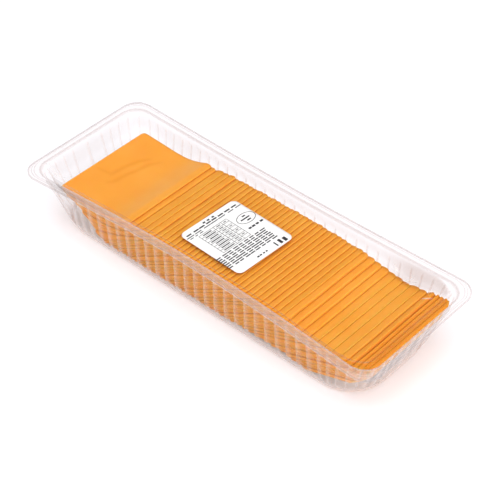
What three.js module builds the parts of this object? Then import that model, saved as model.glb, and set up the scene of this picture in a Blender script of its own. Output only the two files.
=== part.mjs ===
// A pack of sliced cheese: a clear formed tray with fluted walls, a shingled stack of slices lying in it,
// a sealing film drawn down over the slices, and a label on the film.
// Millimetres, +Z up, +X along the pack. The origin is on the floor under the middle of the pack.
import * as THREE from 'three';

// Rim: the outer edge of the sealing flange.
const RIM = { length: 345, width: 130, radius: 16 };
const RIM_HEIGHT = 46;
const LIP_DROP = 1.6;
// Mouth: where the walls meet the flange. Floor: where the walls would meet the table.
const MOUTH = { length: 331, width: 114, radius: 16 };
const FLOOR = { length: 303, width: 95.5, radius: 32 };
const FLOOR_EDGE_INSET = 1.6; // how far the floor is set in by its rounded edge
// The shrunk film pulls the long sides in and lifts them, most at mid length.
const SIDE_PULL = 6.5;
const SIDE_LIFT = 3.5;

const TRAY_WALL = 0.6;
const FLUTE_DEPTH = 0.9;
const FLUTES = { longHalf: 12, corner: 8, shortHalf: 1 };
const FLUTE_FOOT = 6;
const FLUTE_HEAD = 38;

const GAP = 0.28; // between pieces that touch
const FLOOR_GAP = 0.42; // between the tray's floor and the slices' lower edges

// One slice, before it is bent.
const SLICE = { length: 77, width: 93, thickness: 2.05, cornerRadius: 5 };
const SLICE_COUNT = 46;
const LAST_TIP_X = 161; // the tip that leans on the right end wall

// How the slices lie, from the first one laid (at the right end) to the top one. foot is the slope in degrees
// at the lower end, tip the slope at the upper end; the bend runs between two shares of the length. rise is
// how high the foot is off the tray's floor, and pitch the least step between one tip and the next.
const LIE = [
  { slice: 0, foot: 20, tip: 72, bendFrom: 0.66, bendTo: 0.86, rise: 0, pitch: 3.3 },
  { slice: 3, foot: 21.5, tip: 58, bendFrom: 0.68, bendTo: 0.94, rise: 2.4, pitch: 3.4 },
  { slice: 5, foot: 22.5, tip: 34, bendFrom: 0.6, bendTo: 1, rise: 2.4, pitch: 6.4 },
  { slice: 7, foot: 23.5, tip: 20, bendFrom: 0.55, bendTo: 1, rise: 2.2, pitch: 5.2 },
  { slice: 9, foot: 25.5, tip: 18, bendFrom: 0.55, bendTo: 1, rise: 1.6, pitch: 5 },
  { slice: 13, foot: 31, tip: 27, bendFrom: 0.5, bendTo: 1, rise: 0, pitch: 5.2 },
  { slice: 17, foot: 31, tip: 31, bendFrom: 0.1, bendTo: 0.8, rise: 0, pitch: 4.8 },
  { slice: 25, foot: 31.5, tip: 32, bendFrom: 0.1, bendTo: 0.8, rise: 0, pitch: 4.5 },
  { slice: 39, foot: 30.5, tip: 31.5, bendFrom: 0, bendTo: 0.9, rise: 0, pitch: 4.5 },
  { slice: 40, foot: 19, tip: 31.5, bendFrom: 0, bendTo: 0.9, rise: 5.5, pitch: 4.5 },
  { slice: 41, foot: 8, tip: 32, bendFrom: 0, bendTo: 0.9, rise: 12, pitch: 4.5 },
  { slice: 42, foot: 0, tip: 31.5, bendFrom: 0.1, bendTo: 0.9, rise: 18.3, pitch: 4.5 },
  { slice: 43, foot: -2, tip: 30, bendFrom: 0.25, bendTo: 0.93, rise: 23.5, pitch: 4.5 },
  { slice: 44, foot: -3, tip: 26, bendFrom: 0.34, bendTo: 0.93, rise: 27, pitch: 4.5 },
  { slice: 45, foot: -3, tip: 22.5, bendFrom: 0.42, bendTo: 0.9, rise: 30.2, pitch: 4.8 },
];

const FILM = {
  trim: 1.5,
  thickness: 0.25,
  sealInset: 3,
  sealRadius: 26,
  slopeWidth: 8,
  endSlopeWidth: 12,
  columns: 30,
};
const LABEL = { length: 63, width: 57.5, radius: 4.7, thickness: 0.2, x: 3.2, y: -7.4, turn: -2.5, columns: 3 };
const LABEL_REACH = 4; // the label bridges the film's dips over this distance

const radians = THREE.MathUtils.degToRad;
const lerp = THREE.MathUtils.lerp;
const smooth = (value, from, to) => THREE.MathUtils.smoothstep(value, from, to);

// ---------- Rounded outlines ----------

const grow = (outline, by) => ({
  length: outline.length + 2 * by,
  width: outline.width + 2 * by,
  radius: outline.radius + by,
});

const blend = (a, b, share) => ({
  length: lerp(a.length, b.length, share),
  width: lerp(a.width, b.width, share),
  radius: lerp(a.radius, b.radius, share),
});

// Half the outline's width at a distance x from its middle.
function halfWidthAt(outline, x) {
  const intoCorner = Math.abs(x) - (outline.length / 2 - outline.radius);
  if (intoCorner <= 0) return outline.width / 2;
  const reach = Math.sqrt(Math.max(outline.radius ** 2 - intoCorner ** 2, 0));
  return outline.width / 2 - outline.radius + reach;
}

// The film's pull on a point of the tray or the film: nothing at the floor, all of it at the rim.
function settle(x, y, z) {
  const share = smooth(z / RIM_HEIGHT, 0, 1) * Math.cos((Math.PI * x) / RIM.length);
  return [x, y * (1 - (SIDE_PULL * share) / (RIM.width / 2)), z + SIDE_LIFT * share];
}

// ---------- Tray ----------

// A quarter of an outline is walked in equal flutes: upright ones along the long side up to the floor's
// corner, then round the corner, then along the short side. Two stations make a flute: a valley and a crest.
const LONG_STATIONS = FLUTES.longHalf * 2;
const CORNER_STATIONS = FLUTES.corner * 2;
const SHORT_STATIONS = FLUTES.shortHalf * 2;
const QUARTER_STATIONS = LONG_STATIONS + CORNER_STATIONS + SHORT_STATIONS;
const CORNER_X = FLOOR.length / 2 - FLOOR.radius;
const CORNER_Y = FLOOR.width / 2 - FLOOR.radius;

function quarterPoint(outline, station) {
  const halfLength = outline.length / 2;
  const halfWidth = outline.width / 2;
  const radius = outline.radius;
  if (station <= LONG_STATIONS) return [(CORNER_X * station) / LONG_STATIONS, halfWidth];
  const past = station - LONG_STATIONS - CORNER_STATIONS;
  if (past >= 0) return [halfLength, CORNER_Y * (1 - past / SHORT_STATIONS)];
  const along = halfLength - radius - CORNER_X;
  const round = (radius * Math.PI) / 2;
  const across = halfWidth - radius - CORNER_Y;
  const walked = ((station - LONG_STATIONS) / CORNER_STATIONS) * (along + round + across);
  if (walked <= along) return [CORNER_X + walked, halfWidth];
  if (walked >= along + round) return [halfLength, halfWidth - radius - (walked - along - round)];
  const angle = (walked - along) / radius;
  return [halfLength - radius + radius * Math.sin(angle), halfWidth - radius + radius * Math.cos(angle)];
}

// A closed ring of points on an outline at one height, counterclockwise from above. Crests stand out by
// relief.
function trayRing(outline, z, relief) {
  const points = [];
  for (const [signX, signY] of [[1, 1], [-1, 1], [-1, -1], [1, -1]]) {
    const forward = signX !== signY;
    for (let step = 0; step < QUARTER_STATIONS; step += 1) {
      const station = forward ? step : QUARTER_STATIONS - step;
      const [x, y] = quarterPoint(grow(outline, relief * (station % 2)), station);
      points.push(settle(x * signX, y * signY, z));
    }
  }
  return points;
}

function wallRings(thickness) {
  const wallAt = (z) => grow(blend(FLOOR, MOUTH, z / RIM_HEIGHT), thickness);
  return [
    trayRing(grow(wallAt(0), -FLOOR_EDGE_INSET), TRAY_WALL - thickness, 0),
    trayRing(wallAt(FLUTE_FOOT), FLUTE_FOOT, FLUTE_DEPTH),
    trayRing(wallAt(FLUTE_HEAD), FLUTE_HEAD, FLUTE_DEPTH),
    trayRing(wallAt(RIM_HEIGHT), RIM_HEIGHT - thickness, 0),
  ];
}

// Joins rings into one closed skin, with a fan over the first and the last ring.
function skinOfRings(rings) {
  const count = rings[0].length;
  const positions = rings.flat(2);
  const index = [];
  for (let ring = 0; ring + 1 < rings.length; ring += 1) {
    for (let i = 0; i < count; i += 1) {
      const a = ring * count + i;
      const b = ring * count + ((i + 1) % count);
      index.push(a, b, b + count, a, b + count, a + count);
    }
  }
  const middle = (ring) => ring.reduce((sum, p) => sum.map((v, k) => v + p[k] / count), [0, 0, 0]);
  const first = positions.length / 3;
  positions.push(...middle(rings[0]), ...middle(rings.at(-1)));
  const lastRing = (rings.length - 1) * count;
  for (let i = 0; i < count; i += 1) {
    const next = (i + 1) % count;
    index.push(first, next, i);
    index.push(first + 1, lastRing + i, lastRing + next);
  }
  return bufferOf(positions, index);
}

function bufferOf(positions, index) {
  const geometry = new THREE.BufferGeometry();
  geometry.setAttribute('position', new THREE.Float32BufferAttribute(positions, 3));
  geometry.setIndex(index);
  geometry.computeVertexNormals();
  return geometry;
}

// Up the outside from the floor, over the flange and its turned-down lip, and down the inside.
function trayGeometry() {
  const lipInside = grow(RIM, -TRAY_WALL);
  return skinOfRings([
    ...wallRings(TRAY_WALL),
    trayRing(lipInside, RIM_HEIGHT - TRAY_WALL, 0),
    trayRing(lipInside, RIM_HEIGHT - LIP_DROP, 0),
    trayRing(RIM, RIM_HEIGHT - LIP_DROP, 0),
    trayRing(RIM, RIM_HEIGHT, 0),
    ...wallRings(0).reverse(),
  ]);
}

// ---------- Slices ----------

// Distances along a slice where its section is taken; the end ones follow the rounded corners.
const CORNER_STEPS = [0, 0.25, 1];
const BODY_SHARES = [0.28, 0.5, 0.68, 0.84];
const SECTION_AT = [
  ...CORNER_STEPS.map((share) => share * SLICE.cornerRadius),
  ...BODY_SHARES.map((share) => lerp(SLICE.cornerRadius, SLICE.length - SLICE.cornerRadius, share)),
  ...CORNER_STEPS.map((share) => SLICE.length - share * SLICE.cornerRadius).reverse(),
];

function lieOf(slice) {
  const above = LIE.findIndex((station) => station.slice >= slice);
  const b = LIE[Math.max(above, 1)];
  const a = LIE[Math.max(above, 1) - 1];
  const share = (slice - a.slice) / (b.slice - a.slice);
  return Object.fromEntries(Object.keys(a).map((key) => [key, lerp(a[key], b[key], share)]));
}

// The middle line of a slice as [x, z, slope] at each section, its foot at x = 0.
function middleLine(lie) {
  const slopeAt = (along) => {
    const bend = smooth(along / SLICE.length, lie.bendFrom, lie.bendTo);
    return radians(lerp(lie.foot, lie.tip, bend));
  };
  const footHeight = TRAY_WALL + FLOOR_GAP + (SLICE.thickness / 2) * Math.cos(radians(lie.foot)) + lie.rise;
  const line = [[0, footHeight, slopeAt(0)]];
  for (let i = 1; i < SECTION_AT.length; i += 1) {
    const step = SECTION_AT[i] - SECTION_AT[i - 1];
    const slope = slopeAt((SECTION_AT[i] + SECTION_AT[i - 1]) / 2);
    const [x, z] = line[i - 1];
    line.push([x + step * Math.cos(slope), z + step * Math.sin(slope), slopeAt(SECTION_AT[i])]);
  }
  return line;
}

const shifted = (line, by) => line.map(([x, z, slope]) => [x + by, z, slope]);

function distanceToRun([px, pz], [ax, az], [bx, bz]) {
  const [dx, dz] = [bx - ax, bz - az];
  const share = THREE.MathUtils.clamp(((px - ax) * dx + (pz - az) * dz) / (dx * dx + dz * dz), 0, 1);
  return Math.hypot(px - ax - share * dx, pz - az - share * dz);
}

function distanceBetween(lineA, lineB) {
  let least = Infinity;
  for (const [one, other] of [[lineA, lineB], [lineB, lineA]]) {
    for (const point of one) {
      for (let i = 1; i < other.length; i += 1) {
        least = Math.min(least, distanceToRun(point, other[i - 1], other[i]));
      }
    }
  }
  return least;
}

// Lays the slices one on another: each is slid along until it just clears the one laid before it.
const SLIDE_STEP = 0.05;
const CLEARANCE_SHARE = 1.01; // the bent faces lie a little nearer than the middle lines say
function laySlices() {
  const spacing = (SLICE.thickness + GAP) * CLEARANCE_SHARE;
  const laid = [];
  for (let slice = 0; slice < SLICE_COUNT; slice += 1) {
    const lie = lieOf(slice);
    const line = middleLine(lie);
    const before = laid.at(-1);
    let shift = (before ? before.at(-1)[0] - lie.pitch : LAST_TIP_X) - line.at(-1)[0];
    while (before && distanceBetween(shifted(line, shift), before) < spacing) shift -= SLIDE_STEP;
    laid.push(shifted(line, shift));
  }
  return laid;
}

// The room for half a slice's width at a place: what the tray's wall leaves, less a gap.
const WALL_ROOM = 0.75;
function roomAt(x, z) {
  const inset = FLOOR_EDGE_INSET * Math.max(1 - z / FLUTE_FOOT, 0);
  const wall = grow(blend(FLOOR, MOUTH, z / RIM_HEIGHT), -inset - WALL_ROOM);
  const [, room] = settle(x, halfWidthAt(wall, x), z);
  return room;
}

function sliceGeometry(line) {
  const positions = [];
  const index = [];
  line.forEach(([x, z, slope], i) => {
    const toEnd = Math.min(SECTION_AT[i], SLICE.length - SECTION_AT[i]);
    const intoCorner = Math.max(SLICE.cornerRadius - toEnd, 0);
    const ownWidth = SLICE.width / 2 - SLICE.cornerRadius
      + Math.sqrt(SLICE.cornerRadius ** 2 - intoCorner ** 2);
    const half = SLICE.thickness / 2;
    const room = roomAt(x + half * Math.sin(slope), z - half * Math.cos(slope));
    const halfWidth = Math.min(ownWidth, room);
    for (const [side, face] of [[-1, -1], [1, -1], [1, 1], [-1, 1]]) {
      positions.push(x - face * half * Math.sin(slope), side * halfWidth, z + face * half * Math.cos(slope));
    }
  });
  for (let i = 0; i + 1 < line.length; i += 1) {
    for (let k = 0; k < 4; k += 1) {
      const a = 4 * i + k;
      const b = 4 * i + ((k + 1) % 4);
      index.push(a, b + 4, a + 4, a, b, b + 4);
    }
  }
  const last = 4 * (line.length - 1);
  index.push(0, 2, 1, 0, 3, 2, last, last + 1, last + 2, last, last + 2, last + 3);
  return bufferOf(positions, index);
}

// ---------- Film and label ----------

// The upper face of the stack: every slice's tip, and the whole face of the top slice.
function stackTop(lines) {
  const upperPoint = ([x, z, slope]) => [
    x - (SLICE.thickness / 2) * Math.sin(slope), z + (SLICE.thickness / 2) * Math.cos(slope)];
  return [...lines.map((line) => upperPoint(line.at(-1))), ...lines.at(-1).map(upperPoint)];
}

// A closed plate over an outline, cut into columns across its length. heightAt gives its lower face.
function plate(outline, columnXs, rowShares, thickness, heightAt) {
  const rows = rowShares.length;
  const positions = [];
  for (const lift of [0, thickness]) {
    for (const x of columnXs) {
      for (const share of rowShares) {
        const y = share * halfWidthAt(outline, x);
        const [px, py, pz] = heightAt(x, y);
        positions.push(px, py, pz + lift);
      }
    }
  }
  const index = [];
  const top = columnXs.length * rows;
  const quad = (a, b, c, d) => index.push(a, b, c, a, c, d);
  for (let i = 0; i + 1 < columnXs.length; i += 1) {
    for (let j = 0; j + 1 < rows; j += 1) {
      const a = i * rows + j;
      quad(a, a + 1, a + rows + 1, a + rows);
      quad(top + a, top + a + rows, top + a + rows + 1, top + a + 1);
    }
    const near = i * rows;
    const far = near + rows - 1;
    quad(near, near + rows, top + near + rows, top + near);
    quad(far, top + far, top + far + rows, far + rows);
  }
  for (let j = 0; j + 1 < rows; j += 1) {
    const end = (columnXs.length - 1) * rows + j;
    quad(j, top + j, top + j + 1, j + 1);
    quad(end, end + 1, top + end + 1, top + end);
  }
  return bufferOf(positions, index);
}

// Even steps along the straight of an outline, and finer ones round its corners.
const CORNER_COLUMNS = 4;
function columnsOf(outline, straightColumns) {
  const straight = outline.length / 2 - outline.radius;
  const xs = [];
  for (let i = CORNER_COLUMNS; i > 0; i -= 1) {
    xs.push(straight + outline.radius * Math.sin((i / CORNER_COLUMNS) * (Math.PI / 2)));
  }
  const corner = xs.map((x) => -x);
  for (let i = 0; i <= straightColumns; i += 1) {
    corner.push(lerp(-straight, straight, i / straightColumns));
  }
  return [...corner, ...xs.reverse()];
}

const FILM_ROWS = [-1, -0.9, -0.83, -0.76, -0.66, -0.33, 0, 0.33, 0.66, 0.76, 0.83, 0.9, 1];
const LABEL_ROWS = [-1, -0.5, 0, 0.5, 1];

function makeFilm(lines) {
  const outline = grow(RIM, -FILM.trim);
  const columnXs = columnsOf(outline, FILM.columns);
  const stack = stackTop(lines);
  const reach = outline.length / FILM.columns;
  // The film's lower face over the slices, at one column: clear of every tip within a column either side.
  const overStack = columnXs.map((x) => {
    const near = stack.filter(([sx]) => Math.abs(sx - x) <= reach);
    const nearest = stack.reduce((a, b) => (Math.abs(a[0] - x) < Math.abs(b[0] - x) ? a : b));
    const pool = near.length ? near : [nearest];
    return Math.max(...pool.map(([, z]) => z)) + GAP;
  });
  const stackHeightAt = (x) => {
    const i = THREE.MathUtils.clamp(columnXs.findIndex((column) => column > x), 1, columnXs.length - 1);
    const share = (x - columnXs[i - 1]) / (columnXs[i] - columnXs[i - 1]);
    return lerp(overStack[i - 1], overStack[i], THREE.MathUtils.clamp(share, 0, 1));
  };
  // Sealed flat on the flange, then sloping down onto the slices from just inside the mouth.
  const sealed = { ...grow(MOUTH, -FILM.sealInset), radius: FILM.sealRadius };
  const heightAt = (x, y) => {
    const inFromSide = (halfWidthAt(sealed, x) - Math.abs(y)) / FILM.slopeWidth;
    const inFromEnd = (sealed.length / 2 - Math.abs(x)) / FILM.endSlopeWidth;
    const down = smooth(inFromSide, 0, 1) * smooth(inFromEnd, 0, 1);
    const [sx, sy, flange] = settle(x, y, RIM_HEIGHT);
    return [sx, sy, lerp(flange + GAP, Math.min(stackHeightAt(x), flange + GAP), down)];
  };
  return { geometry: plate(outline, columnXs, FILM_ROWS, FILM.thickness, heightAt), heightAt };
}

function labelGeometry(filmHeightAt) {
  const turn = radians(LABEL.turn);
  const heightAt = (x, y) => {
    const px = LABEL.x + x * Math.cos(turn) - y * Math.sin(turn);
    const py = LABEL.y + x * Math.sin(turn) + y * Math.cos(turn);
    const steps = [-LABEL_REACH, 0, LABEL_REACH];
    const around = steps.flatMap((dx) => steps.map((dy) => filmHeightAt(px + dx, py + dy)[2]));
    return [px, py, Math.max(...around) + FILM.thickness + GAP];
  };
  return plate(LABEL, columnsOf(LABEL, LABEL.columns), LABEL_ROWS, LABEL.thickness, heightAt);
}

// ---------- The pack ----------

const pack = new THREE.Group();

function add(name, geometry, look) {
  const mesh = new THREE.Mesh(geometry, new THREE.MeshStandardMaterial(look));
  mesh.name = name;
  pack.add(mesh);
}

const lines = laySlices();
const film = makeFilm(lines);

const TRAY_LOOK = { color: 0xeef0f0, roughness: 0.12, transparent: true, opacity: 0.35 };
const CHEESE_LOOK = { color: 0xf79a32, roughness: 0.5 };
const FILM_LOOK = { color: 0xf6f4f2, roughness: 0.08, transparent: true, opacity: 0.25 };
const LABEL_LOOK = { color: 0xfdfdfb, roughness: 0.6 };

add('tray', trayGeometry(), TRAY_LOOK);
lines.forEach((line, i) => {
  add(`slice_${String(i + 1).padStart(2, '0')}`, sliceGeometry(line), CHEESE_LOOK);
});
add('film', film.geometry, FILM_LOOK);
add('label', labelGeometry(film.heightAt), LABEL_LOOK);

export default pack;
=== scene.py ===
# %% [markdown]
# # A pack of sliced cheese
#
# A long clear tray with fluted walls holds a shingled stack of cheese slices. A clear film is sealed to the
# tray's flange and drawn down onto the slices, and a printed paper label sticks to the film. The packed
# model gives every place and size, and this script makes the looks on top of it.

# %% Load the frame
import math

import bpy
import bmesh
import numpy as np
from mathutils import Matrix, Vector, noise


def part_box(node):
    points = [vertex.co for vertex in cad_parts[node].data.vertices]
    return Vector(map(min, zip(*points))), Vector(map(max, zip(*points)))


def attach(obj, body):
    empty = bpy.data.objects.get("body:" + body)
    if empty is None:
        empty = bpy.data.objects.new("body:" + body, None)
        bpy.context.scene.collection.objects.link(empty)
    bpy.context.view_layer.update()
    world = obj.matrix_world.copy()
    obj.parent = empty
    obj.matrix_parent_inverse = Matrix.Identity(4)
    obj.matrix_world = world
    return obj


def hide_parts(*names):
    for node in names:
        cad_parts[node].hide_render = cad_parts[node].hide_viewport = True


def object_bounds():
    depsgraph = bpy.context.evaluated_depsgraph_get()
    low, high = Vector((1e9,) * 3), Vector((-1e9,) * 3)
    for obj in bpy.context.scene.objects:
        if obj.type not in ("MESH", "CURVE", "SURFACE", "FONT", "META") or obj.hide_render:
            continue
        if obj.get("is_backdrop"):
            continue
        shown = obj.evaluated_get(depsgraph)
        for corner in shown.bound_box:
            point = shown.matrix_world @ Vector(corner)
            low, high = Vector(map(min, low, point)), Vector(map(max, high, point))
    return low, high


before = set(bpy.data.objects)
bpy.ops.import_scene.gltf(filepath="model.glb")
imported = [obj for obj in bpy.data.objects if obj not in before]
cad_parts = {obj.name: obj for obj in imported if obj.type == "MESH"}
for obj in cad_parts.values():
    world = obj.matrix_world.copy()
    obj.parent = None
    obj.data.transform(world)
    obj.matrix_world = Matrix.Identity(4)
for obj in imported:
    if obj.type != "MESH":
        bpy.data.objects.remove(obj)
cad_low, cad_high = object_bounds()
MM = 0.001
BODY = "root"
slice_names = sorted(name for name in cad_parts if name.startswith("slice_"))
print("CAD box in mm:", [round(v / MM, 1) for v in (*cad_low, *cad_high)], "slices:", len(slice_names))

# %% [markdown]
# ## Camera
# The pack is seen from its near right corner, from about forty degrees up, through a long lens that keeps
# its long sides almost parallel. The camera is placed by two angles and a distance around a point near the
# label, because that way each number can be tuned alone.

# %% Place the camera
CAMERA_AZIMUTH = math.radians(41.8)
CAMERA_ELEVATION = math.radians(41.7)
CAMERA_DISTANCE = 1.1576
CAMERA_LENS = 114.1
LOOK_AT_OFFSET = Vector((0.0225, -0.0141, 0.046))

pack_middle = Vector(((cad_low.x + cad_high.x) / 2, (cad_low.y + cad_high.y) / 2, cad_low.z))
look_at = pack_middle + LOOK_AT_OFFSET
towards_camera = Vector((
    math.sin(CAMERA_AZIMUTH) * math.cos(CAMERA_ELEVATION),
    -math.cos(CAMERA_AZIMUTH) * math.cos(CAMERA_ELEVATION),
    math.sin(CAMERA_ELEVATION),
))
camera_data = bpy.data.cameras.new("camera")
camera_data.lens = CAMERA_LENS
camera = bpy.data.objects.new("camera", camera_data)
camera.location = look_at + towards_camera * CAMERA_DISTANCE
camera.rotation_euler = towards_camera.to_track_quat("Z", "Y").to_euler()
bpy.context.scene.collection.objects.link(camera)
bpy.context.scene.camera = camera
print("camera at", [round(v, 3) for v in camera.location])

# %% [markdown]
# ## Node trees written as sums
# Shaders and geometry trees are long chains of small nodes. A wrapper around a socket lets them be written
# as plain sums: `1 - mask * 0.5` adds its own Math nodes. Every other node comes from one method, `put`,
# which takes the node's type, its settings and what goes into its sockets.

# %% Wires and benches
class Wire:
    """A node's output that can be used in a sum, with numbers on either side."""

    def __init__(self, bench, socket):
        self.bench = bench
        self.socket = socket

    def math(self, operation, *values):
        return self.bench.put("ShaderNodeMath", {"operation": operation}, dict(enumerate(values))).out()

    def __add__(self, other):
        return self.math("ADD", self, other)

    def __radd__(self, other):
        return self.math("ADD", other, self)

    def __sub__(self, other):
        return self.math("SUBTRACT", self, other)

    def __rsub__(self, other):
        return self.math("SUBTRACT", other, self)

    def __mul__(self, other):
        return self.math("MULTIPLY", self, other)

    def __rmul__(self, other):
        return self.math("MULTIPLY", other, self)

    def __truediv__(self, other):
        return self.math("DIVIDE", self, other)

    def __pow__(self, other):
        return self.math("POWER", self, other)

    def sine(self):
        return self.math("SINE", self)

    def size(self):
        return self.math("ABSOLUTE", self)

    def ramp(self, low, high):
        """0 below low, 1 above high, smooth between."""
        settings = {"interpolation_type": "SMOOTHSTEP"}
        sockets = {"Value": self, "From Min": low, "From Max": high}
        return self.bench.put("ShaderNodeMapRange", settings, sockets).out("Result")


class Placed:
    """A node that has been put on a bench."""

    def __init__(self, bench, node):
        self.bench = bench
        self.node = node

    def out(self, name=0):
        return Wire(self.bench, self.node.outputs[name])


class Bench:
    """A node tree being built."""

    def __init__(self, tree):
        self.tree = tree

    def put(self, kind, settings=None, sockets=None):
        node = self.tree.nodes.new(kind)
        for name, value in (settings or {}).items():
            setattr(node, name, value)
        for name, value in (sockets or {}).items():
            if isinstance(value, Wire):
                self.tree.links.new(value.socket, node.inputs[name])
            else:
                node.inputs[name].default_value = value
        return Placed(self, node)

    def blend_colours(self, share, first, second):
        sockets = {"Factor": share, 6: first, 7: second}
        return self.put("ShaderNodeMix", {"data_type": "RGBA"}, sockets).out(2)

    def where(self):
        """The place on the piece, in metres."""
        return self.put("ShaderNodeTexCoord").out("Object")

    def cloud(self, vector, scale, detail=3.0, roughness=0.5):
        sockets = {"Vector": vector, "Scale": scale, "Detail": detail, "Roughness": roughness}
        return self.put("ShaderNodeTexNoise", None, sockets).out()


def new_material(name):
    """An empty material, its bench and its output node."""
    material = bpy.data.materials.new(name)
    material.use_nodes = True
    material.node_tree.nodes.clear()
    bench = Bench(material.node_tree)
    output = bench.put("ShaderNodeOutputMaterial")
    return material, bench, output.node


def show(bench, output, placed):
    bench.tree.links.new(placed.node.outputs[0], output.inputs["Surface"])


# %% [markdown]
# ## Cheese
# Processed orange cheese is smooth, a little oily and slightly see-through, so light bleeds into its edges.
# The colour is an orange with faint cloudy mottling and fine pale specks. Each slice also keeps two numbers
# on its points: its own tone, so that neighbours differ by a breath, and painted shade, a deeper orange in
# the top slice's creases, on the cut sides and on upright slices. Light scattering is set on the shader's own
# sockets. Only colour, roughness and bump vary over the surface.

# %% Cheese material
def make_cheese():
    material, bench, output = new_material("orange_cheese")
    where = bench.where()
    clouds = bench.cloud(where, 34.0, 4.0, 0.55)
    fine = bench.cloud(where, 620.0, 2.0, 0.6)
    tone = bench.put("ShaderNodeAttribute", {"attribute_name": "tone"}).out("Fac")
    pressed = bench.put("ShaderNodeAttribute", {"attribute_name": "pressed"}).out("Fac")
    share = clouds.ramp(0.32, 0.72) * 0.55 + tone * 0.45
    body = bench.blend_colours(share, (0.87, 0.338, 0.034, 1), (0.92, 0.392, 0.056, 1))
    speckled = bench.blend_colours(fine.ramp(0.66, 0.8) * 0.3, body, (0.95, 0.48, 0.11, 1))
    # Painted shade: a deeper orange in the creases, on the cut sides and on upright slices.
    shaded = bench.blend_colours(pressed, speckled, (0.74, 0.26, 0.012, 1))
    relief = fine * 0.5 + bench.cloud(where, 150.0, 3.0, 0.5)
    bump = bench.put("ShaderNodeBump", None, {"Strength": 0.1, "Distance": 0.0006, "Height": relief}).out()
    shader = bench.put("ShaderNodeBsdfPrincipled", None, {
        "Base Color": shaded,
        "Roughness": 0.5 + clouds * 0.16,
        "Normal": bump,
        "IOR": 1.4,
        "Specular IOR Level": 0.16,
        "Subsurface Weight": 1.0,
        "Subsurface Radius": (1.0, 0.75, 0.4),
        "Subsurface Scale": 0.0026,
    })
    show(bench, output, shader)
    return material


cheese = make_cheese()

# %% [markdown]
# ## Clear plastic
# Thin clear plastic is mostly seen by what it reflects, and by how it greys where the eye runs along it.
# True refraction adds little on a wall half a millimetre thick, so each skin is a mix of four plain
# finishes: clear, clear but grey, milky, and mirror-like. Grey and mirror take over where the eye runs
# along the skin. Milk and grey are also set by place and by numbers kept on its points: painted highlights
# and painted grey lines along the tray's bends, painted reflections between the flutes, painted light at the
# tray's foot, a little milk on the flange, painted glints on the film's folds, a painted sheen over the top
# slice's rise, and painted shade on the film's slopes and where it tents. Everything gets a fine uneven bump
# so that reflections waver.

# %% Clear plastic materials
LEAST_MIRROR = 0.006
MILK_PER_GLOSS = 0.75


def make_plastic(name, haze, greying, *, veil, gloss, edge_tint, edge_from, body, waver_scale, waver_depth):
    """haze adds milk by place, with painted highlights, reflections and light among it, and greying turns the
    share seen edge-on into the share of grey, with painted shade added by place.
    """
    material, bench, output = new_material(name)
    waver = bench.cloud(bench.where(), waver_scale, 3.0, 0.55)
    bump = bench.put("ShaderNodeBump", None, {
        "Strength": 0.5, "Distance": waver_depth, "Height": waver,
    }).out()
    facing = bench.put("ShaderNodeLayerWeight", None, {"Blend": 0.5, "Normal": bump}).out("Facing")
    # haze brings the painted highlights, reflections and light, and greying brings the painted shade.
    milk = veil + gloss * MILK_PER_GLOSS * facing ** 6 + haze(bench)
    grey = greying(bench, facing.ramp(edge_from, 1.0))
    across = bench.put("ShaderNodeBsdfTransparent", None, {"Color": (0.99, 0.988, 0.988, 1)})
    along = bench.put("ShaderNodeBsdfTransparent", None, {"Color": (*edge_tint, 1)})
    clear = bench.put("ShaderNodeMixShader", None, {0: grey, 1: across.out(), 2: along.out()})
    darker = (*(channel * 0.9 for channel in body), 1)
    milky = bench.put("ShaderNodeBsdfPrincipled", None, {
        "Base Color": bench.blend_colours(waver, (*body, 1), darker),
        "Roughness": 0.35 + waver * 0.1,
        "Specular IOR Level": 0.2,
    })
    mirror = bench.put("ShaderNodeBsdfPrincipled", None, {
        "Base Color": (1, 1, 1, 1), "Metallic": 1.0, "Roughness": 0.05 + waver * 0.06, "Normal": bump,
    })
    sheet = bench.put("ShaderNodeMixShader", None, {0: milk, 1: clear.out(), 2: milky.out()})
    mirrored = LEAST_MIRROR + gloss * facing ** 6
    skin = bench.put("ShaderNodeMixShader", None, {0: mirrored, 1: sheet.out(), 2: mirror.out()})
    show(bench, output, skin)
    return material


def stored_share(bench, name):
    return bench.put("ShaderNodeAttribute", {"attribute_name": name}).out("Fac")


def height_in(bench):
    return bench.put("ShaderNodeSeparateXYZ", None, {"Vector": bench.where()}).out("Z")


PATCH_START = -94 * MM
PATCH_END = -73.5 * MM


def painted_sheen_patch(bench):
    """A faint milk over the top slice's rise, in a band before the first strip: a painted sheen for the
    film's reflection there, where the film also stands off the slice.
    """
    place = bench.put("ShaderNodeSeparateXYZ", None, {"Vector": bench.where()})
    x, y = place.out("X"), place.out("Y")
    wobble = bench.cloud(bench.where(), 45.0, 2.0, 0.5)
    start = PATCH_START + (y * -1).ramp(0.0, 45 * MM) * (12 * MM) + (wobble - 0.5) * (6 * MM)
    inside = (x - start).ramp(-1.5 * MM, 1.5 * MM) * (PATCH_END - x).ramp(-1 * MM, 2 * MM)
    return inside * y.size().ramp(48 * MM, 44 * MM) * 0.008


def film_painted_sheen_and_glints(bench):
    """The painted sheen patch, and white strokes painted along the film's folds as glints."""
    return painted_sheen_patch(bench) + stored_share(bench, "fold").ramp(0.15, 0.9) * 0.55


def film_greying_and_painted_shade(bench, edge):
    """Edges, grey painted on the film's slopes down from the flange as painted shade, and more painted shade
    where it stands like a tent at the far right corner.
    """
    return edge + stored_share(bench, "drawn") * 0.3 + stored_share(bench, "tented") * 0.75


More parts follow.
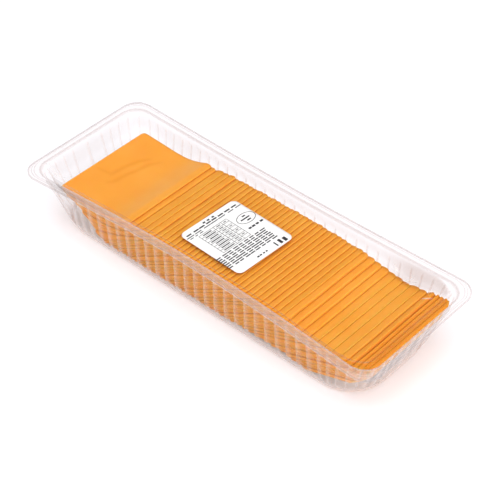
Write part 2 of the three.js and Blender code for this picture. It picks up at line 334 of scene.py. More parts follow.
def tray_milk_and_painted_light(bench):
    """Milk between the flutes as painted reflections, at the foot as painted light over the shade beneath the
    pack, a little on the flange, and along the bends as painted highlights.
    """
    height = height_in(bench)
    crease = (stored_share(bench, "flutes") * math.pi).sine().size().ramp(0.4, 0.05)
    crease_painted_sheen = crease * height.ramp(4 * MM, 9 * MM) * height.ramp(42.5 * MM, 39 * MM)
    # Painted light at the foot, over the shade beneath the pack.
    foot = height.ramp(0.8 * MM, 2 * MM) * height.ramp(9 * MM, 3 * MM)
    rim = stored_share(bench, "flange") * 0.09 + stored_share(bench, "bend") * 0.1
    return crease_painted_sheen * 0.14 + foot * 0.2 + rim


def tray_greying_and_painted_shade(bench, edge):
    """Where the sheet turns sharply it looks grey: fully on the flange, less on the walls and least at the
    foot, which keeps the foot light over the shade beneath it. Grey lines painted along the bends stand for
    shade.
    """
    height = height_in(bench)
    sheet = height.ramp(38 * MM, 43 * MM) * 0.5 + height.ramp(2 * MM, 16 * MM) * 0.35 + 0.15
    return edge * sheet + stored_share(bench, "bend") * 0.27


tray_plastic = make_plastic(
    "clear_tray_plastic", tray_milk_and_painted_light, tray_greying_and_painted_shade,
    veil=0.012, gloss=0.8, edge_tint=(0.5, 0.44, 0.44), edge_from=0.84,
    body=(0.96, 0.84, 0.81), waver_scale=90.0, waver_depth=0.5 * MM,
)
film_plastic = make_plastic(
    "clear_film", film_painted_sheen_and_glints, film_greying_and_painted_shade,
    veil=0.003, gloss=0.3, edge_tint=(0.76, 0.69, 0.66), edge_from=0.85,
    body=(0.95, 0.93, 0.93), waver_scale=120.0, waver_depth=0.3 * MM,
)
print("plastics:", tray_plastic.name, film_plastic.name)

# %% [markdown]
# ## The settled tray
# The film shrinks after sealing, so it pulls the tray's long sides in and lifts them, most at mid length.
# One function, `settle`, does this to every point of the tray, and another gives the film's resting height.
# Outlines are rounded rectangles, each with a length, a width and a corner radius.

# %% Sizes and the settling rule
tray_low, tray_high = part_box("tray")
RIM_LENGTH = tray_high.x - tray_low.x
SIDE_PULL = 6.5 * MM
SIDE_LIFT = 3.5 * MM
RIM_HEIGHT = tray_high.z - SIDE_LIFT - tray_low.z
RIM = (RIM_LENGTH, 130 * MM, 16 * MM)
MOUTH = (RIM_LENGTH - 14 * MM, 114 * MM, 16 * MM)
FLOOR = (RIM_LENGTH - 42 * MM, 95.5 * MM, 32 * MM)
TRAY_WALL = 0.6 * MM


def smooth(value, low, high):
    share = np.clip((value - low) / (high - low), 0, 1)
    return share * share * (3 - 2 * share)


def grow(outline, by):
    length, width, radius = outline
    return (length + 2 * by, width + 2 * by, radius + by)


def between(first, second, share):
    return tuple(a + (b - a) * share for a, b in zip(first, second))


def half_width(outline, x):
    length, width, radius = outline
    into_corner = np.maximum(np.abs(x) - (length / 2 - radius), 0)
    return width / 2 - radius + np.sqrt(np.maximum(radius ** 2 - into_corner ** 2, 0))


def settle(points):
    """The film's pull on points of shape (n, 3): nothing at the floor, all of it at the rim."""
    settled = np.array(points, float)
    share = smooth(settled[:, 2] / RIM_HEIGHT, 0, 1) * np.cos(np.pi * settled[:, 0] / RIM_LENGTH)
    settled[:, 1] *= 1 - SIDE_PULL * share / (RIM[1] / 2)
    settled[:, 2] += SIDE_LIFT * share
    return settled


print("rim height in mm:", round(RIM_HEIGHT / MM, 2))

# %% Meshes as arrays
def places(mesh):
    points = np.zeros(len(mesh.vertices) * 3)
    mesh.vertices.foreach_get("co", points)
    return points.reshape(-1, 3)


def reshape(mesh, rule):
    """Moves a mesh's points by a rule on an array of shape (n, 3)."""
    mesh.vertices.foreach_set("co", rule(places(mesh)).ravel())
    mesh.update()


def store(mesh, name, values):
    """Keeps one number on each point."""
    mesh.attributes.new(name, "FLOAT", "POINT").data.foreach_set("value", np.asarray(values, np.float32))


def stored(mesh, name):
    values = np.zeros(len(mesh.vertices), np.float32)
    mesh.attributes[name].data.foreach_get("value", values)
    return values

# %% [markdown]
# ## Tray
# The tray is one formed sheet: floor, walls, a stepped flange and a small lip turned down. It could be
# carved from a block, but a lofted skin follows how it is made. Rings of points run round the pack at each
# height. A Geometry Nodes tree then presses the flutes into the wall, because they repeat along it by a
# rule, and a Solidify modifier gives the sheet its thickness.

# %% Rings of the tray's skin
STEPS_PER_FLUTE = 8
FLUTES_LONG = 12
FLUTES_CORNER = 8
FLUTES_SHORT = 1
CORNER_X = FLOOR[0] / 2 - FLOOR[2]
CORNER_Y = FLOOR[1] / 2 - FLOOR[2]
QUARTER = STEPS_PER_FLUTE * (FLUTES_LONG + FLUTES_CORNER + FLUTES_SHORT)


def quarter_of(outline):
    """Points along a quarter of an outline, from the middle of the long side to that of the short one."""
    length, width, radius = outline
    long_steps = np.arange(STEPS_PER_FLUTE * FLUTES_LONG) / (STEPS_PER_FLUTE * FLUTES_LONG)
    corner_steps = np.arange(STEPS_PER_FLUTE * FLUTES_CORNER) / (STEPS_PER_FLUTE * FLUTES_CORNER)
    short_steps = np.arange(STEPS_PER_FLUTE * FLUTES_SHORT + 1) / (STEPS_PER_FLUTE * FLUTES_SHORT)
    along = length / 2 - radius - CORNER_X
    turn = radius * math.pi / 2
    across = width / 2 - radius - CORNER_Y
    walked = corner_steps * (along + turn + across)
    angle = np.clip((walked - along) / radius, 0, math.pi / 2)
    corner_x = CORNER_X + np.minimum(walked, along) + radius * np.sin(angle)
    corner_y = width / 2 - radius + radius * np.cos(angle) - np.maximum(walked - along - turn, 0)
    x = np.concatenate([CORNER_X * long_steps, corner_x, np.full(short_steps.shape, length / 2)])
    y = np.concatenate([np.full(long_steps.shape, width / 2), corner_y, CORNER_Y * (1 - short_steps)])
    return np.stack([x, y], axis=1)


def ring_of(outline):
    """The whole outline, counterclockwise from above."""
    quarter = quarter_of(outline)
    parts = []
    for sign_x, sign_y in ((1, 1), (-1, 1), (-1, -1), (1, -1)):
        points = quarter if sign_x != sign_y else quarter[::-1]
        parts.append(points[:-1] * (sign_x, sign_y))
    return np.concatenate(parts)


def flute_phases():
    """How many flutes have passed at each point of a ring; whole numbers are the valleys."""
    steps = np.arange(QUARTER + 1) / STEPS_PER_FLUTE
    parts = []
    for forward in (False, True, False, True):
        parts.append(steps[:-1] if forward else steps[:0:-1])
    return np.concatenate(parts)


def wall_outline(z):
    return grow(between(FLOOR, MOUTH, z / RIM_HEIGHT), TRAY_WALL)


FLOOR_EDGE = 3.6 * MM
FLOOR_EDGE_INSET = 1.9 * MM
FLOOR_MIDDLE = (200 * MM, 2 * MM, 0.5 * MM)
WALL_RINGS = 28
FLANGE = [  # share of the way out from the mouth, depth under the rim in millimetres, strength of the painted bend line
    (0.0, 1.6, 0.5), (0.03, 1.0, 1.0), (0.1, 0.65, 0.5), (0.16, 0.6, 0.0),
    (0.46, 0.6, 0.0), (0.52, 0.42, 0.7), (0.57, 0.25, 0.1), (0.62, 0.2, 0.0),
    (0.67, 0.25, 0.1), (0.72, 0.42, 0.7), (0.78, 0.6, 0.0), (0.9, 0.6, 0.1),
]
LIP = [(0.75, 1.0), (1.1, 0.6), (1.5, 0.2), (1.9, 0.7)]  # depth and painted bend line strength, as in the flange


def skin_rings():
    """The tray's outer skin from the middle of the floor to the lip's edge: outline, height, flange, and the
    strength of its painted bend line.
    """
    flat_floor = grow(FLOOR, -FLOOR_EDGE_INSET)
    rings = [(between(FLOOR_MIDDLE, flat_floor, share), 0.0, 0, 0) for share in (0.5, 0.9, 1.0)]
    for turn in (30, 60, 90):
        angle = math.radians(turn)
        inset = FLOOR_EDGE_INSET * (1 - math.sin(angle))
        z = FLOOR_EDGE * (1 - math.cos(angle))
        # The floor edge's middle ring gets a faint painted bend line: painted grey and painted highlight.
        rings.append((grow(wall_outline(z), -inset), z, 0, 0.25 if turn == 60 else 0))
    flange_start = RIM_HEIGHT - FLANGE[0][1] * MM
    for z in np.linspace(FLOOR_EDGE, flange_start, WALL_RINGS + 2)[1:-1]:
        rings.append((wall_outline(z), z, 0, 0))
    lip = grow(RIM, -TRAY_WALL)
    for share, drop, bend in FLANGE:
        rings.append((between(wall_outline(RIM_HEIGHT), lip, share), RIM_HEIGHT - drop * MM, 1, bend))
    for drop, bend in LIP:
        rings.append((lip, RIM_HEIGHT - drop * MM, 1, bend))
    return rings


def loft(name, rings):
    """A skin through the rings, closed over the first one, with marks on each point for the material."""
    count = 4 * QUARTER
    points = [np.column_stack([ring_of(outline), np.full(count, z)]) for outline, z, flange, bend in rings]
    faces = []
    for low in range(len(rings) - 1):
        for step in range(count):
            here = low * count + step
            side = low * count + (step + 1) % count
            faces.append((here, side, side + count, here + count))
    vertices = np.concatenate(points + [np.zeros((1, 3))])
    middle = len(vertices) - 1
    faces += [(middle, (step + 1) % count, step) for step in range(count)]
    mesh = bpy.data.meshes.new(name)
    mesh.from_pydata(vertices.tolist(), [], faces)
    store(mesh, "flutes", np.append(np.tile(flute_phases(), len(rings)), 0))
    store(mesh, "flange", np.append(np.repeat([ring[2] for ring in rings], count), 0))
    store(mesh, "bend", np.append(np.repeat([ring[3] for ring in rings], count), 0))
    piece = bpy.data.objects.new(name, mesh)
    bpy.context.scene.collection.objects.link(piece)
    return piece


tray = loft("tray_shell", skin_rings())
print("tray skin points:", len(tray.data.vertices))

# %% [markdown]
# ## Flutes
# Flutes are the upright ribs that stiffen a thin wall. Each one swells from nothing near the floor to its
# full depth, and ends in a rounded top under the flange. Between two of them runs a narrow crease. The tree
# moves the skin along its own normal by a sine of the flute's phase, without its sign, and fades it with
# height. The rounded top comes from lowering the fade away from the crest.

# %% A Geometry Nodes tree and how it is applied
def new_tree(name, inputs):
    """A geometry tree with named inputs, given as name: (socket type, value), as its bench and its wires."""
    tree = bpy.data.node_groups.new(name, "GeometryNodeTree")
    tree.interface.new_socket("Geometry", in_out="INPUT", socket_type="NodeSocketGeometry")
    for label, (socket_type, value) in inputs.items():
        socket = tree.interface.new_socket(label, in_out="INPUT", socket_type=socket_type)
        if value is not None:
            socket.default_value = value
    tree.interface.new_socket("Geometry", in_out="OUTPUT", socket_type="NodeSocketGeometry")
    bench = Bench(tree)
    start = bench.put("NodeGroupInput")
    wires = {label: start.out(label) for label in ["Geometry", *inputs]}
    return bench, wires


def end_tree(bench, geometry, material):
    """Realize Instances and Set Material, then the output."""
    real = bench.put("GeometryNodeRealizeInstances", None, {"Geometry": geometry}).out()
    painted = bench.put("GeometryNodeSetMaterial", None, {"Geometry": real, "Material": material}).out()
    bench.put("NodeGroupOutput", None, {"Geometry": painted})
    return bench.tree


def grown(piece, tree, values):
    """Runs a geometry tree on a piece and returns the result as a plain mesh object in its place."""
    modifier = piece.modifiers.new("tree", "NODES")
    modifier.node_group = tree
    for item in tree.interface.items_tree:
        if item.in_out == "INPUT" and item.name in values:
            modifier[item.identifier] = values[item.name]
    evaluated = piece.evaluated_get(bpy.context.evaluated_depsgraph_get())
    mesh = bpy.data.meshes.new_from_object(evaluated)
    name = piece.name
    bpy.data.objects.remove(piece)
    mesh.name = name
    result = bpy.data.objects.new(name, mesh)
    bpy.context.scene.collection.objects.link(result)
    return result


CREASE_SOFTNESS = 0.015


def flute_tree(material):
    bench, wires = new_tree("press_flutes", {
        "Depth": ("NodeSocketFloat", 1.0 * MM),
        "Foot": ("NodeSocketFloat", 5 * MM),
        "Head": ("NodeSocketFloat", 41.5 * MM),
        "Round Top": ("NodeSocketFloat", 3 * MM),
        "Rise Over": ("NodeSocketFloat", 4 * MM),
        "Fall Over": ("NodeSocketFloat", 3.5 * MM),
    })
    phase = bench.put("GeometryNodeInputNamedAttribute", {"data_type": "FLOAT"}, {"Name": "flutes"}).out()
    place = bench.put("GeometryNodeInputPosition").out()
    height = bench.put("ShaderNodeSeparateXYZ", None, {"Vector": place}).out("Z")
    swing = (phase * math.pi).sine()
    crest = (swing * swing + CREASE_SOFTNESS) ** 0.5
    away = 1 - crest
    top = wires["Head"] - wires["Round Top"] * away
    rise = (height - wires["Foot"]) / wires["Rise Over"]
    fall = (top - height) / wires["Fall Over"]
    relief = wires["Depth"] * crest * rise.ramp(0, 1) * fall.ramp(0, 1)
    normal = bench.put("GeometryNodeInputNormal").out()
    push = bench.put("ShaderNodeVectorMath", {"operation": "SCALE"}, {0: normal, "Scale": relief}).out()
    moved = bench.put("GeometryNodeSetPosition", None, {"Geometry": wires["Geometry"], "Offset": push}).out()
    return end_tree(bench, moved, material)


tray = grown(tray, flute_tree(tray_plastic), {"Depth": 1.0 * MM})
print("fluted tray points:", len(tray.data.vertices))

# %% Settle the tray and give it thickness
def baked(piece):
    """The piece with its modifiers turned into plain mesh."""
    evaluated = piece.evaluated_get(bpy.context.evaluated_depsgraph_get())
    mesh = bpy.data.meshes.new_from_object(evaluated)
    piece.modifiers.clear()
    piece.data = mesh
    return piece


def thicken(piece, thickness, offset):
    wall = piece.modifiers.new("wall", "SOLIDIFY")
    wall.thickness = thickness
    wall.offset = offset
    wall.use_even_offset = False
    return baked(piece)


def finish_piece(piece, node, material=None):
    """Smooth faces, a material, and its place on the body in a CAD node's stead."""
    if material:
        piece.data.materials.clear()
        piece.data.materials.append(material)
    piece.data.polygons.foreach_set("use_smooth", [True] * len(piece.data.polygons))
    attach(piece, BODY)
    if node:
        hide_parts(node)


SHEET = 0.5 * MM
reshape(tray.data, settle)
tray = thicken(tray, SHEET, -1)
finish_piece(tray, "tray", tray_plastic)
print("tray triangles:", sum(len(face.vertices) - 2 for face in tray.data.polygons))

# %% [markdown]
# ## Slices
# Every slice is the same square of cheese, cut from a block, laid on the one before and bent by the tray's
# ends and by its own weight. So one flat slice is made, with rounded corners and a softened upper edge, and
# a Geometry Nodes tree lays it along a line: the CAD slice's own middle line. The same tree warps it a
# little, by a noise that neighbours share so that they still nest, and it trims each tip unevenly.
# Afterwards each under face is let down onto the slice below. The film has pressed the tips thin, the more
# the flatter they lie.

# %% The middle line of a CAD slice
def middle_line(node):
    """The middle line of a CAD slice from its foot to its tip, as points (x, z)."""
    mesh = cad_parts[node].data
    points = np.array([vertex.co for vertex in mesh.vertices], float)
    unique = np.unique(np.round(points[points[:, 1] > 0], 6), axis=0)
    by_width = {}
    for x, y, z in unique:
        by_width.setdefault(round(y, 4), []).append((x, z))
    middles = []
    for group in by_width.values():
        left = sorted(group)
        while left:
            x, z = left.pop(0)
            mate = min(left, key=lambda other: math.hypot(other[0] - x, other[1] - z))
            left.remove(mate)
            middles.append(((x + mate[0]) / 2, (z + mate[1]) / 2))
    return np.array(sorted(middles))


def rounded_line(points, count):
    """A smooth line through the points (Catmull-Rom), as count even steps of its length."""
    steps = np.concatenate([[0], np.cumsum(np.hypot(*np.diff(points, axis=0).T))])
    slopes = np.gradient(points, steps, axis=0)
    at = np.linspace(0, steps[-1], count)
    cell = np.clip(np.searchsorted(steps, at, side="right") - 1, 0, len(steps) - 2)
    width = (steps[cell + 1] - steps[cell])[:, None]
    t = ((at - steps[cell])[:, None]) / width
    a, b = points[cell], points[cell + 1]
    ma, mb = slopes[cell] * width, slopes[cell + 1] * width
    return ((2 * t ** 3 - 3 * t ** 2 + 1) * a + (t ** 3 - 2 * t ** 2 + t) * ma
            + (3 * t ** 2 - 2 * t ** 3) * b + (t ** 3 - t ** 2) * mb)


LINE_STEPS = 40
slice_lines = {name: rounded_line(middle_line(name), LINE_STEPS) for name in slice_names}
first_line = slice_lines[slice_names[0]]
slice_low, slice_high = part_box(slice_names[0])
SLICE_WIDTH = slice_high.y - slice_low.y
SLICE_LENGTH = float(np.hypot(*np.diff(first_line, axis=0).T).sum())
SLICE_THICKNESS = 2.38 * MM
SLICE_CORNER = 3 * MM
TIP_PRESSED = 1.65 * MM
TIP_REACH = 7 * MM
print("slice length and width in mm:", round(SLICE_LENGTH / MM, 1), round(SLICE_WIDTH / MM, 1))

# %% One flat slice
def flat_slice(columns, rows):
    """A flat slice: x runs from foot to tip, and its edges are softened."""
    outline = (SLICE_LENGTH, SLICE_WIDTH, SLICE_CORNER)
    ends = SLICE_CORNER * (1 - np.cos(np.linspace(0, math.pi / 2, 3)))
    inner = np.linspace(SLICE_CORNER, SLICE_LENGTH - SLICE_CORNER, columns)[1:-1]
    xs = np.concatenate([ends, inner, SLICE_LENGTH - ends[::-1]])
    shares = np.sin(np.linspace(-math.pi / 2, math.pi / 2, rows)) * 0.35 + np.linspace(-1, 1, rows) * 0.65
    sheet = bmesh.new()
    layers = []
    for side in (-1, 1):
        layers.append([[sheet.verts.new((
            x, share * float(half_width(outline, x - SLICE_LENGTH / 2)), side * SLICE_THICKNESS / 2))
            for share in shares] for x in xs])
    below, above = layers
    for i in range(len(xs) - 1):
        for j in range(rows - 1):
            sheet.faces.new((below[i][j], below[i][j + 1], below[i + 1][j + 1], below[i + 1][j]))
            sheet.faces.new((above[i][j], above[i + 1][j], above[i + 1][j + 1], above[i][j + 1]))
        sheet.faces.new((below[i][0], below[i + 1][0], above[i + 1][0], above[i][0]))
        sheet.faces.new((below[i + 1][-1], below[i][-1], above[i][-1], above[i + 1][-1]))
    for j in range(rows - 1):
        sheet.faces.new((below[0][j + 1], below[0][j], above[0][j], above[0][j + 1]))
        sheet.faces.new((below[-1][j], below[-1][j + 1], above[-1][j + 1], above[-1][j]))
    rim = [edge for edge in sheet.edges if edge.calc_face_angle(0) > math.radians(60)]
    upper = [edge for edge in rim if min(vert.co.z for vert in edge.verts) > 0]
    bmesh.ops.bevel(sheet, geom=upper, offset=0.62 * MM, segments=3, affect="EDGES", clamp_overlap=True)
    mesh = bpy.data.meshes.new("flat_slice")
    sheet.to_mesh(mesh)
    sheet.free()
    flat_places = places(mesh)
    under = np.clip(0.5 - flat_places[:, 2] / SLICE_THICKNESS, 0, 1)
    store(mesh, "along", flat_places[:, 0])
    store(mesh, "under", under)
    return mesh


flat = flat_slice(columns=22, rows=17)
print("flat slice faces:", len(flat.polygons))

# %% Lay every slice along its line
def laying_tree(material):
    bench, wires = new_tree("lay_slice", {
        "Line": ("NodeSocketObject", None),
        "Warp": ("NodeSocketFloat", 0.5 * MM),
        "Uneven Tip": ("NodeSocketFloat", 0.8 * MM),
        "Sideways": ("NodeSocketFloat", 0.0),
        "Slice Seed": ("NodeSocketFloat", 0.0),
    })
    place = bench.put("GeometryNodeInputPosition").out()
    parts = bench.put("ShaderNodeSeparateXYZ", None, {"Vector": place})
    along, across, up = parts.out("X"), parts.out("Y"), parts.out("Z")
    spot = bench.put("ShaderNodeCombineXYZ", None, {
        "X": along * 6, "Y": across * 22, "Z": wires["Slice Seed"],
    }).out()
    trim = bench.put("ShaderNodeTexNoise", None, {"Vector": spot, "Scale": 1.0, "Detail": 2.0}).out(0)
    tip_share = along.ramp(SLICE_LENGTH * 0.5, SLICE_LENGTH)
    reach = along + (trim - 0.5) * 2 * wires["Uneven Tip"] * tip_share
    line = bench.put("GeometryNodeObjectInfo", {"transform_space": "ORIGINAL"}, {"Object": wires["Line"]})
    sample = bench.put("GeometryNodeSampleCurve", {"mode": "LENGTH", "use_all_curves": True}, {
        "Curves": line.out("Geometry"), "Length": reach,
    })
    spine, tangent = sample.out("Position"), sample.out("Tangent")
    normal = bench.put("ShaderNodeVectorMath", {"operation": "CROSS_PRODUCT"}, {
        0: tangent, 1: (0, 1, 0),
    }).out()
    side = bench.put("ShaderNodeCombineXYZ", None, {"Y": across + wires["Sideways"]}).out()
    base = bench.put("ShaderNodeVectorMath", {"operation": "ADD"}, {0: spine, 1: side}).out()
    wave = bench.put("ShaderNodeTexNoise", None, {"Vector": base, "Scale": 26.0, "Detail": 1.5}).out(0)
    off = up + (wave - 0.5) * 2 * wires["Warp"] * along.ramp(SLICE_LENGTH * 0.15, SLICE_LENGTH)
    push = bench.put("ShaderNodeVectorMath", {"operation": "SCALE"}, {0: normal, "Scale": off}).out()
    there = bench.put("ShaderNodeVectorMath", {"operation": "ADD"}, {0: base, 1: push}).out()
    laid = bench.put("GeometryNodeSetPosition", None, {
        "Geometry": wires["Geometry"], "Position": there,
    }).out()
    return end_tree(bench, laid, material)


def line_object(points):
    """The line as a curve object for the tree to sample."""
    curve = bpy.data.curves.new("line", "CURVE")
    curve.dimensions = "3D"
    spline = curve.splines.new("POLY")
    spline.points.add(len(points) - 1)
    for point, (x, z) in zip(spline.points, points):
        point.co = (x, 0.0, z, 1.0)
    line = bpy.data.objects.new("line", curve)
    bpy.context.scene.collection.objects.link(line)
    return line


def tip_slope(line):
    """How steeply a line ends, in degrees."""
    return math.degrees(math.atan2(*(line[-1] - line[-4])[::-1]))


def tip_pressed(mesh, line):
    """A flat slice whose tip is squashed thin from above, as much as its line lies flat at the tip."""
    amount = TIP_PRESSED * float(smooth(tip_slope(line), 66, 30))
    pressed = mesh.copy()
    share = smooth(stored(mesh, "along"), SLICE_LENGTH - TIP_REACH, SLICE_LENGTH)
    share *= 1 - stored(mesh, "under")
    reshape(pressed, lambda points: points - np.outer(amount * share, (0, 0, 1)))
    return pressed


def squeezed(points):
    """Narrows a slice where the tray's corners leave it less room."""
    x, z = points[:, 0], np.maximum(points[:, 2], 0)
    share = z / RIM_HEIGHT
    inset = 0.6 * MM + 1.6 * MM * np.clip(1 - z / (6 * MM), 0, 1)
    length, width, radius = (a + (b - a) * share for a, b in zip(FLOOR, MOUTH))
    into_corner = np.maximum(np.abs(x) - (length / 2 - radius), 0)
    room = width / 2 - radius + np.sqrt(np.maximum((radius - inset) ** 2 - into_corner ** 2, 0))
    fitted = points.copy()
    fitted[:, 1] *= np.minimum(1, room / (SLICE_WIDTH / 2))
    return fitted


def gap_below(line, lower):
    """How far a slice stands off the one below, at each step of its line; nothing where it overhangs."""
    ends = np.linspace(0, len(lower) - 1, 400)
    fine = np.stack([np.interp(ends, np.arange(len(lower)), lower[:, axis]) for axis in (0, 1)], axis=1)
    away = np.hypot(line[:, None, 0] - fine[None, :, 0], line[:, None, 1] - fine[None, :, 1])
    nearest = away.argmin(axis=1)
    over = (nearest > 1) & (nearest < len(fine) - 2)
    gap = np.where(over, np.clip(away.min(axis=1) - SLICE_THICKNESS, 0, 4 * MM), 0)
    return np.convolve(np.pad(gap, 1, mode="edge"), (0.25, 0.5, 0.25), mode="valid")


def rested(piece, line, lower):
    """Lets a slice's under face down onto the slice below."""
    steps = np.linspace(0, SLICE_LENGTH, len(line))
    along = stored(piece.data, "along")
    down = np.interp(along, steps, gap_below(line, lower)) * stored(piece.data, "under")
    run = np.gradient(line, axis=0)
    run /= np.hypot(*run.T)[:, None]
    run_x, run_z = (np.interp(along, steps, run[:, axis]) for axis in (0, 1))
    shift = np.stack([run_z, 0 * along, -run_x], axis=1)
    reshape(piece.data, lambda points: points + shift * down[:, None])


CREASE_WIDTH = 1.9 * MM
CREASE_DEPTH = 0.25 * MM
# Strength of the painted shade on the faces and on the cut sides.
FACE_PAINTED_SHADE = 0.45
SIDES_PAINTED_SHADE = 0.7
CREASES = [  # a crease in the top slice as plan points in millimetres
    [(-141.5, -10.8), (-128.8, -7.9), (-127.4, 5.2), (-123.9, 18.5), (-119.8, 25.6)],
    [(-124, -16.9), (-120.8, -12.4), (-120.3, -1.9), (-118, 6.9), (-115.3, 21), (-111.2, 28.1)],
]


def crease_shares(points):
    """How deep each point lies in a crease, 0 to 1."""
    shares = np.zeros(len(points))
    for crease in CREASES:
        ends = np.array(crease) * MM
        for index, (a, b) in enumerate(zip(ends[:-1], ends[1:])):
            run = b - a
            share = np.clip(((points[:, :2] - a) @ run) / (run @ run), 0, 1)
            away = np.hypot(*(points[:, :2] - a - share[:, None] * run).T)
            fade = math.sin(math.pi * (index + 1) / len(ends)) ** 0.5
            shares = np.maximum(shares, fade * np.exp(-((away / CREASE_WIDTH) ** 2)))
    return shares


def painted_deeper_shade(points, line, creased_one):
    """Painted shade, a deeper orange: in the top slice's creases, on the cut sides, and on upright slices."""
    share = crease_shares(points) if creased_one else float(smooth(tip_slope(line), 25, 65))
    across = np.abs(points[:, 1])
    return np.maximum(FACE_PAINTED_SHADE * share, SIDES_PAINTED_SHADE * smooth(across / across.max(), 0.95, 0.985))


def creased(points):
    """Presses the soft creases into the top slice."""
    pressed = points.copy()
    pressed[:, 2] -= CREASE_DEPTH * crease_shares(points)
    return pressed


rng = np.random.default_rng(11)
fine_flat = flat_slice(columns=64, rows=75)
tree = laying_tree(cheese)
slices = []
for number, name in enumerate(slice_names):
    line = line_object(slice_lines[name])
    last = number == len(slice_names) - 1
    cut = tip_pressed(fine_flat if last else flat, slice_lines[name])
    piece = bpy.data.objects.new(name + "_cut", cut)
    bpy.context.scene.collection.objects.link(piece)
    piece = grown(piece, tree, {
        "Line": line,
        "Warp": 0.45 * MM,
        "Uneven Tip": 0.2 * MM if last else 0.5 * MM,
        "Sideways": float(rng.uniform(-0.5, 0.5)) * MM,
        "Slice Seed": float(number * 3.7),
    })
    if number:
        rested(piece, slice_lines[name], slice_lines[slice_names[number - 1]])
    reshape(piece.data, squeezed)
    if last:
        reshape(piece.data, creased)
    store(piece.data, "tone", np.full(len(piece.data.vertices), rng.uniform(0, 1)))
    # Painted shade kept on the points as a deeper orange.
    store(piece.data, "pressed", painted_deeper_shade(places(piece.data), slice_lines[name], last))
    finish_piece(piece, name)
    bpy.data.objects.remove(line)
    slices.append(piece)
print("slices laid:", len(slices), "triangles each:", 2 * len(slices[0].data.polygons))

# %% [markdown]
# ## Film
# The film is sealed flat on the flange and sucked down onto the slices. It bridges from tip to tip, rises
# to the mouth along the sides in a short steep slope, and stays high across the tray's corners. One
# function gives its height at any place, and a grid over the rim's outline takes that height. Short folds
# are added where it is pulled, mostly near the ends. A film's thickness is too small to show, so it stays
# one skin.

# %% The film's resting height
FILM_TRIM = 1.5 * MM
FILM_RISE = 0.35 * MM
SEAL_CLEARANCE = 0.28 * MM
SEAL_INSET = 1.5 * MM
SEAL_RADIUS = 24 * MM
SIDE_SLOPE = 5.5 * MM
END_SLOPE = 11 * MM


def stack_profile():
    """The stack's top edge as (x, z): the whole face of the top slice, then each tip to the right."""
    half = SLICE_THICKNESS / 2
    top = slice_lines[slice_names[-1]]
    run = np.gradient(top, axis=0)
    run /= np.hypot(*run.T)[:, None]
    face = top + np.stack([-run[:, 1], run[:, 0]], axis=1) * half
    tips = []
    for name in reversed(slice_names[:-1]):
        line = slice_lines[name]
        step = (line[-1] - line[-2]) / np.hypot(*(line[-1] - line[-2]))
        tips.append(line[-1] + np.array([-step[1], step[0]]) * half)
    profile = np.concatenate([face, tips])
    return profile[np.argsort(profile[:, 0])]


def bridged(profile, reach):
    """The line of a film drawn over the profile: it rests on the highest tips, without sagging between."""
    step = 0.5 * MM
    xs = np.arange(profile[0, 0], profile[-1, 0], step)
    z = np.interp(xs, profile[:, 0], profile[:, 1])
    steps = int(reach / step)
    padded = np.pad(z, steps, mode="edge")
    highest = np.max([padded[i:i + len(z)] for i in range(2 * steps + 1)], axis=0)
    padded = np.pad(highest, steps, mode="edge")
    even = np.mean([padded[i:i + len(z)] for i in range(2 * steps + 1)], axis=0)
    return np.stack([xs, np.maximum(even, z)], axis=1)


profile = bridged(stack_profile(), 3 * MM)
SEALED = (MOUTH[0] - 2 * SEAL_INSET, MOUTH[1] - 2 * SEAL_INSET, SEAL_RADIUS)


def film_base(x, y):
    """The film's height over unsettled places x, y before any folds, and how far down it is drawn, 0 to 1."""
    lift = SIDE_LIFT * np.cos(np.pi * x / RIM_LENGTH)
    flange = RIM_HEIGHT + lift + SEAL_CLEARANCE
    stack = np.interp(x, profile[:, 0], profile[:, 1]) + FILM_RISE
    in_side = (half_width(SEALED, x) - np.abs(y)) / SIDE_SLOPE
    in_end = (SEALED[0] / 2 - np.abs(x)) / END_SLOPE
    down = smooth(in_side, 0, 1) * smooth(in_end, 0, 1)
    return flange + (np.minimum(stack, flange) - flange) * down, down


FOLDS = [  # ends of a fold in millimetres, its width and its height
    ((-167, -49), (-148, -36), 0.7, 0.8), ((-152, 40), (-136, 31), 1.2, 0.3),
    ((106, 52), (114, 49), 0.8, 0.9), ((118, 44), (126, 52), 0.7, 0.9), ((122, 43), (130, 50), 0.6, 0.7),
    ((143, 33), (151, 39), 0.9, 0.7), ((134, -45), (148, -34), 1.5, 0.2), ((100, -46), (116, -40), 1.4, 0.2),
]


def fold_height(x, y):
    """Soft ridges along straight stretches, fading at both ends."""
    height = np.zeros_like(x)
    for start, end, width, rise in FOLDS:
        a = np.array(start) * MM
        d = (np.array(end) - np.array(start)) * MM
        share = ((x - a[0]) * d[0] + (y - a[1]) * d[1]) / (d @ d)
        inside = np.clip(share, 0, 1)
        away = np.hypot(x - a[0] - inside * d[0], y - a[1] - inside * d[1])
        fade = np.sin(np.pi * np.clip(share * 0.8 + 0.1, 0, 1))
        height += rise * MM * fade * np.exp(-((away / (width * MM)) ** 2))
    return height


# %% Draw the film over the pack
RIPPLE_DEPTH = 0.4 * MM
FULL_FOLD = 0.9 * MM


